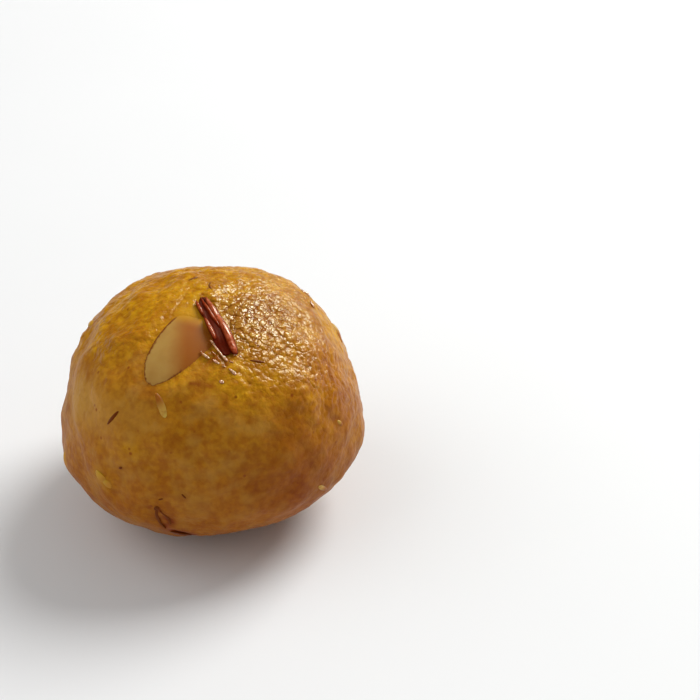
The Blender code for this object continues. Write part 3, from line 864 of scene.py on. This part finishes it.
    # Painted shade darkens the gaps between them where ghee pooled, and the coarser hollows, torn spots,
    # right side and underside, and a film over a slice is even
    share = add_node(tree, RANGE, {0: crumb, 1: 0.36, 2: 0.60, 4: 0.80})
    painted_shade = add_node(tree, VALUE_OF, {}, "Fac", attribute_name="painted_shade")
    pooled = add_node(tree, VALUE_OF, {}, "Fac", attribute_name="ghee")
    share = add_node(tree, MATHS, {0: share, 1: pooled}, operation="MULTIPLY")
    share = add_node(tree, MATHS, {0: share, 1: painted_shade}, operation="MAXIMUM")
    colour = add_node(tree, MIX, {SHARE: share, UNDER: colour, OVER: golden}, RESULT,
                      data_type="RGBA", blend_type="MULTIPLY")
    share = add_node(tree, VALUE_OF, {}, "Fac", attribute_name="film")
    colour = add_node(tree, MIX, {SHARE: share, UNDER: colour, OVER: filmed}, RESULT, data_type="RGBA")

    # Light spreads a little in the dough, but not in a film of it
    soft = add_node(tree, RANGE, {0: share, 3: 0.25, 4: 0.0})

    # Ghee lies where it pooled, in streaks of 1.5 mm, and hardly at all on the waxy side
    streak = add_node(tree, NOISE, {"Vector": place, "Scale": scale_of(1.5), "Detail": 1.0})
    streak = add_node(tree, RANGE, {0: streak, 1: 0.30, 2: 0.60, 3: 0.55, 4: 1.0})
    ghee = add_node(tree, RANGE, {0: pooled, 3: 0.04 * dough.ghee_film, 4: dough.ghee_film})
    ghee = add_node(tree, MATHS, {0: ghee, 1: streak}, operation="MULTIPLY")
    rough = add_node(tree, RANGE, {0: wet, 3: 0.50, 4: 0.38})

    # The crumbs stand up on the wet side, and single grains show everywhere
    strength = add_node(tree, RANGE, {0: pooled, 2: 0.7, 3: 0.16, 4: 1.0})
    inputs = {"Strength": strength, "Distance": 0.42 * MM, "Height": crumb}
    normal = add_node(tree, BUMP, inputs, invert=True)
    grains = add_node(tree, NOISE, {"Vector": place, "Scale": scale_of(0.30), "Detail": 2.0})
    strength = add_node(tree, RANGE, {0: wet, 3: 0.60, 4: 1.0})
    inputs = {"Strength": strength, "Distance": 0.045 * MM, "Height": grains, "Normal": normal}
    normal = add_node(tree, BUMP, inputs)
    set_inputs(tree, shader, {
        "Base Color": colour, "Roughness": rough, "Normal": normal, "IOR": 1.46, "Specular IOR Level": 0.15,
        "Specular Tint": (1.0, 0.86, 0.62, 1.0),
        "Subsurface Weight": soft, "Subsurface Radius": (1.0, 0.42, 0.08), "Subsurface Scale": 0.9 * MM,
        "Coat Weight": ghee, "Coat Roughness": 0.17, "Coat IOR": 1.50, "Coat Normal": normal,
    })
    return made


def sliced_almond():
    """Sliced almond, cut with a blade: pale waxy flesh, brown skin on the rim, a veil of ghee at one side.

    It gives the eye the one smooth and even face on the ladoo, cloudy as wax, with a thin dark outline.
    """
    almond = bpy.context.scene.ladoo_almond
    made, tree, shader, place = new_material("sliced_almond")
    flesh, shade = with_alpha(almond.flesh), with_alpha(almond.flesh_shade)
    veiled, skin = with_alpha(almond.veiled), with_alpha(almond.rim_skin)
    cloud = add_node(tree, NOISE, {"Vector": place, "Scale": scale_of(2.6), "Detail": 2.0})
    cloud = add_node(tree, RANGE, {0: cloud, 1: 0.35, 2: 0.65})
    colour = add_node(tree, MIX, {SHARE: cloud, UNDER: flesh, OVER: shade}, RESULT, data_type="RGBA")
    share = add_node(tree, VALUE_OF, {}, "Fac", attribute_name="veil")
    colour = add_node(tree, MIX, {SHARE: share, UNDER: colour, OVER: veiled}, RESULT, data_type="RGBA")

    # Where dough closes over the slice it shines through golden, and no light spreads in the flesh
    golden = with_alpha(bpy.context.scene.ladoo_dough.filmed)
    share = add_node(tree, VALUE_OF, {}, "Fac", attribute_name="cover")
    colour = add_node(tree, MIX, {SHARE: share, UNDER: colour, OVER: golden}, RESULT, data_type="RGBA")
    soft = add_node(tree, RANGE, {0: share, 3: 0.4, 4: 0.0})

    # The skin is torn, so its band is thinner and thicker every 0.7 mm
    band = add_node(tree, VALUE_OF, {}, "Fac", attribute_name="skin")
    torn = add_node(tree, NOISE, {"Vector": place, "Scale": scale_of(0.7), "Detail": 2.0})
    torn = add_node(tree, RANGE, {0: torn, 1: 0.3, 2: 0.7, 3: -0.40, 4: 0.30})
    band = add_node(tree, MATHS, {0: band, 1: torn}, operation="ADD")
    band = add_node(tree, RANGE, {0: band, 1: 0.30, 2: 0.75})
    colour = add_node(tree, MIX, {SHARE: band, UNDER: colour, OVER: skin}, RESULT, data_type="RGBA")
    rough = add_node(tree, NOISE, {"Vector": place, "Scale": scale_of(0.8)})
    rough = add_node(tree, RANGE, {0: rough, 1: 0.3, 2: 0.7, 3: 0.42, 4: 0.52})
    pores = add_node(tree, NOISE, {"Vector": place, "Scale": scale_of(0.5), "Detail": 3.0})
    normal = add_node(tree, BUMP, {"Strength": 0.25, "Distance": 0.03 * MM, "Height": pores})
    set_inputs(tree, shader, {
        "Base Color": colour, "Roughness": rough, "Normal": normal, "IOR": 1.46, "Specular IOR Level": 0.25,
        "Subsurface Weight": soft, "Subsurface Radius": (1.0, 0.7, 0.35), "Subsurface Scale": 1.0 * MM,
        "Coat Weight": 0.04, "Coat Roughness": 0.25,
    })
    return made


def almond_skin(name, fold, skin, thin, ghee):
    """Almond skin soaked in ghee, thin and leathery: dark red-brown in its folds by painted shade, brighter
    on its ridges.
    """
    made, tree, shader, place = new_material(name)
    crest = add_node(tree, VALUE_OF, {}, "Fac", attribute_name="crest")
    # Painted shade: the low parts of a strip take the dark fold colour, and its raised parts the skin's
    raised = add_node(tree, RANGE, {0: crest, 1: 0.15, 2: 0.60})
    colour = add_node(tree, MIX, {SHARE: raised, UNDER: fold, OVER: skin}, RESULT, data_type="RGBA")

    # On the crests of its ridges it is pale and pink along veins half a millimetre apart, partly the thin
    # skin's own colour and partly a painted highlight, and ghee lies on the crests too
    vein = add_node(tree, NOISE, {"Vector": place, "Scale": scale_of(0.5), "Detail": 2.0})
    vein = add_node(tree, RANGE, {0: vein, 1: 0.36, 2: 0.62, 3: 0.06, 4: 0.65})
    share = add_node(tree, RANGE, {0: crest, 1: 0.35, 2: 0.75})
    share = add_node(tree, MATHS, {0: vein, 1: share}, operation="MULTIPLY")
    colour = add_node(tree, MIX, {SHARE: share, UNDER: colour, OVER: thin}, RESULT, data_type="RGBA")
    coat = add_node(tree, RANGE, {0: crest, 1: 0.35, 2: 0.75, 3: 0.0, 4: ghee})
    rough = add_node(tree, NOISE, {"Vector": place, "Scale": scale_of(0.6)})
    rough = add_node(tree, RANGE, {0: rough, 1: 0.3, 2: 0.7, 3: 0.34, 4: 0.46})
    wrinkles = add_node(tree, NOISE, {"Vector": place, "Scale": scale_of(0.45), "Detail": 2.0})
    normal = add_node(tree, BUMP, {"Strength": 0.5, "Distance": 0.03 * MM, "Height": wrinkles})
    set_inputs(tree, shader, {
        "Base Color": colour, "Roughness": rough, "Normal": normal, "IOR": 1.46, "Specular IOR Level": 0.12,
        "Specular Tint": (1.0, 0.6, 0.4, 1.0),
        "Subsurface Weight": 0.2, "Subsurface Radius": (1.0, 0.2, 0.08), "Subsurface Scale": 0.4 * MM,
        "Coat Weight": coat, "Coat Roughness": 0.15,
    })
    return made


def browned_skin(almond):
    """Almond skin baked brown, nearly dry: one finish for the flecks and the fold at the bottom edge."""
    brown, ridge = with_alpha(almond.skin_brown), with_alpha(almond.veiled)
    found = bpy.data.materials.get("browned_almond_skin")
    return found or almond_skin("browned_almond_skin", brown, ridge, ridge, 0.1)


def chopped_nut(name, flesh, stained):
    """A splinter of nut half sunk in the dough: waxy, bright at one end and stained by ghee at the other."""
    made, tree, shader, place = new_material(name)
    along = add_node(tree, VALUE_OF, {}, "Fac", attribute_name="along")
    far_end = add_node(tree, RANGE, {0: along, 1: 0.15, 2: 0.65, 4: 0.95})
    mottle = add_node(tree, NOISE, {"Vector": place, "Scale": scale_of(0.7), "Detail": 2.0})
    mottle = add_node(tree, RANGE, {0: mottle, 1: 0.42, 2: 0.66, 4: 0.45})
    share = add_node(tree, MATHS, {0: far_end, 1: mottle}, operation="MAXIMUM")
    colour = add_node(tree, MIX, {SHARE: share, UNDER: flesh, OVER: stained}, RESULT, data_type="RGBA")
    pores = add_node(tree, NOISE, {"Vector": place, "Scale": scale_of(0.4), "Detail": 2.0})
    normal = add_node(tree, BUMP, {"Strength": 0.3, "Distance": 0.03 * MM, "Height": pores})
    set_inputs(tree, shader, {
        "Base Color": colour, "Roughness": 0.45, "Normal": normal, "IOR": 1.46, "Specular IOR Level": 0.20,
        "Subsurface Weight": 0.4, "Subsurface Radius": (1.0, 0.7, 0.3), "Subsurface Scale": 0.8 * MM,
        "Coat Weight": 0.05, "Coat Roughness": 0.2,
    })
    return made


def wet_fold():
    """Thin almond skin under a film of ghee: very glossy, amber in its dips and pinkish on its crests,
    partly a painted highlight.
    """
    almond = bpy.context.scene.ladoo_almond
    made, tree, shader, place = new_material("ghee_wet_fold")
    stained, thin = with_alpha(almond.veiled), with_alpha(almond.fold_crest)
    crest = add_node(tree, VALUE_OF, {}, "Fac", attribute_name="crest")
    # The pale crests are partly the skin's own colour and partly a painted highlight
    raised = add_node(tree, RANGE, {0: crest, 1: 0.06, 2: 0.22})
    colour = add_node(tree, MIX, {SHARE: raised, UNDER: stained, OVER: thin}, RESULT, data_type="RGBA")
    rough = add_node(tree, NOISE, {"Vector": place, "Scale": scale_of(0.5)})
    rough = add_node(tree, RANGE, {0: rough, 1: 0.3, 2: 0.7, 3: 0.18, 4: 0.30})
    set_inputs(tree, shader, {
        "Base Color": colour, "Roughness": rough, "IOR": 1.47,
        "Subsurface Weight": 0.3, "Subsurface Radius": (1.0, 0.5, 0.3), "Subsurface Scale": 0.4 * MM,
        "Coat Weight": 0.9, "Coat Roughness": 0.12,
    })
    return made


def pale_floor():
    """A pale table top, painted matt: its very faint mottle keeps it from looking like paper."""
    stage = bpy.context.scene.ladoo_stage
    made, tree, shader, place = new_material("pale_matt_floor")
    shade = add_node(tree, NOISE, {"Vector": place, "Scale": scale_of(60.0)})
    shade = add_node(tree, RANGE, {0: shade, 1: 0.3, 2: 0.7})
    darker = tuple(FLOOR_MOTTLE * value for value in stage.floor)
    inputs = {SHARE: shade, UNDER: with_alpha(stage.floor), OVER: with_alpha(darker)}
    colour = add_node(tree, MIX, inputs, RESULT, data_type="RGBA")
    set_inputs(tree, shader, {"Base Color": colour, "Roughness": 0.7, "Specular IOR Level": 0.2})
    return made


# Settings


def size_setting(name, description, default):
    """A length in metres."""
    return FloatProperty(
        name=name, description=description, default=default, min=0.0, unit="LENGTH", precision=5)


def power_setting(name, description, default):
    """A lamp's power in watts."""
    return FloatProperty(name=name, description=description, default=default, min=0.0, unit="POWER")


def colour_setting(name, description, hex_colour):
    """A colour, from its sRGB hex value."""
    return FloatVectorProperty(
        name=name, description=description, default=linear(hex_colour)[:3], min=0.0, max=1.0,
        subtype="COLOR")


class LadooDough(bpy.types.PropertyGroup):
    """The ball of dough"""

    half_width: size_setting("Half width", "From the middle to the side, without the sagged belt", 21.4 * MM)
    half_above: size_setting("Height above the middle", "From the middle to the crown", 19.1 * MM)
    half_below: size_setting("Depth below the middle", "From the middle to a round foot's end", 17.9 * MM)
    grain_height: size_setting("Grain height", "How far worms of dough stand up where it is wet", 0.045 * MM)
    grain_spacing: size_setting("Grain spacing", "From one worm of dough to the next", 1.0 * MM)
    cells: IntProperty(
        name="Cells", description="Mesh cells along each of the six sides", default=128, min=16, max=128)
    ghee_film: FloatProperty(
        name="Ghee film", description="How much ghee lies on the wet side", default=1.0, min=0.0, max=1.0,
        subtype="FACTOR")
    golden: colour_setting("Golden", "Most of the dough", "#D29A14")
    amber: colour_setting("Amber", "Where the flour is roasted darker", "#B0700E")
    waxy: colour_setting("Waxy", "The smooth side that lay in the palm", "#B87C1A")
    yellow: colour_setting("Yellow", "Patches coloured by nuts just under the surface", "#D49E0C")
    # Pale fat, also used for painted light on the left of the palm's side and a painted sheen where ghee
    # pooled
    bloom_and_light_colour: colour_setting("Bloomed", "Where the fat turned pale", "#BE8E3E")
    toasted: colour_setting("Toasted", "Blotches and specks of burnt flour", "#8A420A")
    filmed: colour_setting("Filmed", "The smooth dough over an almond slice", "#C28A12")


class LadooAlmond(bpy.types.PropertyGroup):
    """The nuts in the dough"""

    slice_thickness: size_setting("Slice thickness", "Of each almond slice", 1.1 * MM)
    flesh: colour_setting("Flesh", "The almond's cut face", "#B68E46")
    flesh_shade: colour_setting("Shaded flesh", "Duller patches of the cut face", "#AC803C")
    veiled: colour_setting("Veiled flesh", "Almond stained by ghee", "#9C560C")
    rim_skin: colour_setting("Rim skin", "The brown skin on a slice's rim", "#7E420C")
    skin: colour_setting("Skin", "Loose almond skin", "#96340A")
    # Painted shade: the dark colour in the folds of a curl
    skin_fold_shade: colour_setting("Skin fold", "The skin deep in its folds", "#581202")
    # Partly the thin skin's own colour and partly a painted highlight on the crests
    skin_thin_and_highlight: colour_setting("Thin skin", "The skin where light comes through it", "#DC7A50")
    skin_brown: colour_setting("Browned skin", "Flecks and folds of skin baked brown", "#6C3208")
    # Partly the skin's own colour and partly a painted highlight on the crests of a wet fold
    fold_crest: colour_setting("Fold crest", "The palest part of a wet fold of skin", "#E0AE88")
    splinter: colour_setting("Splinter", "Chopped almond", "#CCA64A")
    pistachio: colour_setting("Pistachio", "Chopped pistachio stained by ghee", "#C0921E")


class LadooStage(bpy.types.PropertyGroup):
    """The floor and the light"""

    floor: colour_setting("Floor", "The pale surface under the ladoo", "#E8E8E8")
    key_power: power_setting("Key light", "The soft light behind on the right", 7.5)
    fill_power: power_setting("Fill light", "The wide light on the left", 5.1)
    glint_power: power_setting("Glint light", "The light that shows in the gloss", 20.0)
    room_light: FloatProperty(
        name="Room light", description="Strength of the even light from all round", default=0.34, min=0.0)


# Operators


class LADOO_OT_dough(bpy.types.Operator):
    """Rolls the ball of dough"""

    bl_idname = "ladoo.dough"
    bl_label = "Dough"

    def execute(self, context):
        ways, quads = cube_sphere(context.scene.ladoo_dough.cells)
        relief, attributes = rolled_dough(ways)
        piece = add_piece("dough", ball_point(ways, relief), quads, attributes, gram_flour_dough(), "dough")
        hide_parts(NODE)
        return {"FINISHED"}


class LADOO_OT_slices(bpy.types.Operator):
    """Presses the almond slices in"""

    bl_idname = "ladoo.slices"
    bl_label = "Almond slices"

    def execute(self, context):
        shells = join([slice_shell(*values) for values in FLAKES.values()])
        add_piece("almond_slices", *shells, sliced_almond(), "almond")
        return {"FINISHED"}


class LADOO_OT_curls(bpy.types.Operator):
    """Adds the curls of almond skin, and the fold at the bottom edge"""

    bl_idname = "ladoo.curls"
    bl_label = "Skin curls"

    def execute(self, context):
        almond = context.scene.ladoo_almond
        shells = join([shell for values in CURLS.values() for shell in curl_shells(*values)])
        colours = with_alpha(almond.skin_fold_shade), with_alpha(almond.skin), with_alpha(almond.skin_thin_and_highlight)
        finish = almond_skin("ghee_soaked_almond_skin", *colours, 1.0)
        add_piece("skin_curls", *shells, finish, "almond_skin")
        shells = join([strip_shell(*values, shape=crinkle, rows=40, columns=24)
                       for values in BOTTOM_FOLD.values()])
        add_piece("bottom_fold", *shells, browned_skin(almond), "almond_skin")
        return {"FINISHED"}


class LADOO_OT_splinters(bpy.types.Operator):
    """Adds the splinters of almond and pistachio"""

    bl_idname = "ladoo.splinters"
    bl_label = "Nut splinters"

    def execute(self, context):
        almond = context.scene.ladoo_almond
        pale = SPLINTERS | far_side_strips(*FAR_SPLINTERS)
        finish = chopped_nut("chopped_almond", with_alpha(almond.splinter), with_alpha(almond.veiled))
        shells = join([strip_shell(*values) for values in pale.values()])
        add_piece("almond_splinters", *shells, finish, "almond")
        colours = with_alpha(almond.pistachio), with_alpha(context.scene.ladoo_dough.waxy)
        finish = chopped_nut("chopped_pistachio", *colours)
        shells = join([strip_shell(*values) for values in GREEN_SPLINTERS.values()])
        add_piece("pistachio_splinters", *shells, finish, "pistachio")
        return {"FINISHED"}


class LADOO_OT_flecks(bpy.types.Operator):
    """Adds the flecks of skin, and the folds beside the front curl"""

    bl_idname = "ladoo.flecks"
    bl_label = "Flecks and folds"

    def execute(self, context):
        flecks = FLECKS | far_side_strips(*FAR_FLECKS)
        shells = join([strip_shell(*values, rows=16, columns=12, depth=0.3) for values in flecks.values()])
        add_piece("skin_flecks", *shells, browned_skin(context.scene.ladoo_almond), "almond_skin")
        shells = join([strip_shell(*values, shape=crinkle, rows=40, columns=20, depth=0.3)
                       for values in FOLDS.values()])
        add_piece("skin_folds", *shells, wet_fold(), "almond_skin")
        return {"FINISHED"}


# How far in front of the ball's middle the camera stands, where its view starts in metres, its lens and
# sensor in mm, the frame's width in pixels, and how many pixels from its left and top the middle is
CAMERA_DISTANCE = 260.0 * MM
CAMERA_NEAR = 0.01
CAMERA_LENS = 90.0
SENSOR = 36.0
FRAME_PIXELS = 700.0
MIDDLE_PIXEL = (213.0, 402.0)

# Each light: where it comes from, and how far and how wide it is in metres. One lamp is only for the glints.
KEY_LIGHT = ((0.53, 0.42, 0.74), 0.90, 0.54)
FILL_LIGHT = ((-0.78, -0.10, 0.62), 1.10, 1.50)
GLINT_LIGHT = ((0.46, 0.56, 0.69), 0.90, 0.66)
GLINT_COLOUR = (0.88, 1.0, 0.88)

# The floor reaches this far each way in metres, and lies this far under the ladoo, so that they don't mix.
# Its mottle is darker by this factor.
FLOOR_REACH = 2.0
FLOOR_DROP = 0.02 * MM
FLOOR_MOTTLE = 0.985


def aimed(name, data, place, way):
    """A camera or light at the place, looking back along the way."""
    made = bpy.data.objects.new(name, data)
    z = unit(way)
    x = unit(np.cross((0.0, 0.0, 1.0), z))
    turned = Matrix(np.stack([x, np.cross(z, x), z], axis=1).tolist())
    made.matrix_world = Matrix.Translation(place) @ turned.to_4x4()
    bpy.context.scene.collection.objects.link(made)
    return made


def add_light(name, way, distance, width, power, glossy, colour=(1.0, 1.0, 1.0)):
    """A round soft light, aimed at the ladoo, that gives either gloss or shade."""
    light = bpy.data.lights.new(name, "AREA")
    light.shape, light.size, light.energy, light.color = "DISK", width, power, colour
    lamp = aimed(name, light, unit(way) * distance, way)
    lamp.visible_glossy, lamp.visible_diffuse = glossy, not glossy


class LADOO_OT_stage(bpy.types.Operator):
    """Sets up the floor, the light and the camera"""

    bl_idname = "ladoo.stage"
    bl_label = "Stage"

    def execute(self, context):
        settings = context.scene.ladoo_stage
        mesh = bpy.data.meshes.new("floor")
        corners = [(-1, -1), (1, -1), (1, 1), (-1, 1)]
        corners = [(x * FLOOR_REACH, y * FLOOR_REACH, -FLOOR_DROP) for x, y in corners]
        mesh.from_pydata(corners, [], [(0, 1, 2, 3)])
        mesh.materials.append(pale_floor())
        floor = bpy.data.objects.new("floor", mesh)
        context.scene.collection.objects.link(floor)

        add_light("key", *KEY_LIGHT, settings.key_power, glossy=False)
        add_light("fill", *FILL_LIGHT, settings.fill_power, glossy=False)
        add_light("glint", *GLINT_LIGHT, settings.glint_power, glossy=True, colour=GLINT_COLOUR)
        world = bpy.data.worlds.new("studio")
        world.use_nodes = True
        background = world.node_tree.nodes["Background"]
        inputs = {"Color": linear("#FFFFFF"), "Strength": settings.room_light}
        set_inputs(world.node_tree, background, inputs)
        world.cycles_visibility.glossy = False
        context.scene.world = world
        context.scene.view_settings.view_transform = "Standard"

        camera = bpy.data.cameras.new("camera")
        camera.lens, camera.sensor_width, camera.clip_start = CAMERA_LENS, SENSOR, CAMERA_NEAR
        pixel = CAMERA_DISTANCE * SENSOR / CAMERA_LENS / FRAME_PIXELS
        across = (0.5 * FRAME_PIXELS - MIDDLE_PIXEL[0]) * pixel
        rise = (MIDDLE_PIXEL[1] - 0.5 * FRAME_PIXELS) * pixel
        place = np.array((across, 0.0, MIDDLE_HEIGHT)) + TOWARDS_VIEWER * CAMERA_DISTANCE + VIEW_UP * rise
        context.scene.camera = aimed("camera", camera, place, TOWARDS_VIEWER)
        return {"FINISHED"}


class LADOO_PT_panel(bpy.types.Panel):
    """Lists the ladoo's settings and steps"""

    bl_idname = "LADOO_PT_panel"
    bl_label = "Besan ladoo"
    bl_space_type = "VIEW_3D"
    bl_region_type = "UI"
    bl_category = "Ladoo"

    def draw(self, context):
        for group in SETTINGS:
            settings = getattr(context.scene, group)
            box = self.layout.box()
            for name in settings.__annotations__:
                box.prop(settings, name)
        for step in STEPS:
            self.layout.operator(step.bl_idname)


SETTINGS = {"ladoo_dough": LadooDough, "ladoo_almond": LadooAlmond, "ladoo_stage": LadooStage}
STEPS = (LADOO_OT_dough, LADOO_OT_slices, LADOO_OT_curls, LADOO_OT_splinters, LADOO_OT_flecks,
         LADOO_OT_stage)


def register():
    for kind in (*SETTINGS.values(), *STEPS, LADOO_PT_panel):
        bpy.utils.register_class(kind)
    for name, kind in SETTINGS.items():
        setattr(bpy.types.Scene, name, PointerProperty(type=kind))


def unregister():
    for name in SETTINGS:
        delattr(bpy.types.Scene, name)
    for kind in (LADOO_PT_panel, *reversed(STEPS), *reversed(SETTINGS.values())):
        bpy.utils.unregister_class(kind)


def main():
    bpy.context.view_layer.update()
    register()
    bpy.ops.ladoo.dough()
    bpy.ops.ladoo.slices()
    bpy.ops.ladoo.curls()
    bpy.ops.ladoo.splinters()
    bpy.ops.ladoo.flecks()
    bpy.ops.ladoo.stage()


if __name__ == "__main__":
    main()
